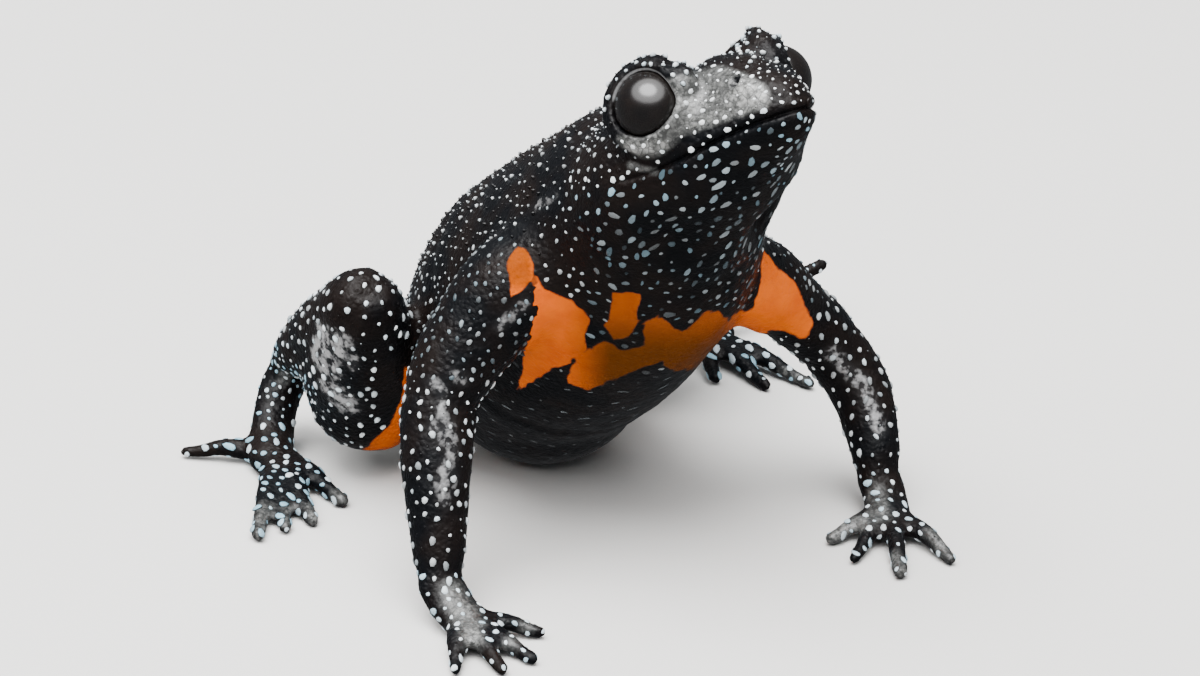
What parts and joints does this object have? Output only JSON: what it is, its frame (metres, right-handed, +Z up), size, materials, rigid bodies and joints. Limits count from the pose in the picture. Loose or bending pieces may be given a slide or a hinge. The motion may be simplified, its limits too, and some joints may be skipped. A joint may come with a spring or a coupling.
{
  "type": "galaxy frog",
  "caption": "Life-size still model of a small black forest frog sitting with raised head and chest on straight arms, knees drawn up, belly on the ground.",
  "frame": {"origin": "middle of the frog's box on the floor that it sits on", "axes": "+Z up, -Y the way the frog faces, +X the frog's left"},
  "size_m": [0.0314, 0.0284, 0.0222],
  "materials": {
    "skin": "wet black frog skin with white spots",
    "eye": "clear wet gloss over near-black brown"
  },
  "bodies": {
    "root": {"head": "skin", "chest": "skin", "belly": "skin", "upper_arm_right": "skin", "upper_arm_left": "skin", "forearm_right": "skin", "forearm_left": "skin", "hand_right": "skin", "hand_left": "skin", "thigh_right": "skin", "thigh_left": "skin", "shank_right": "skin", "shank_left": "skin", "foot_right": "skin", "foot_left": "skin", "eye_right": "eye", "eye_left": "eye"}
  },
  "joints": []
}
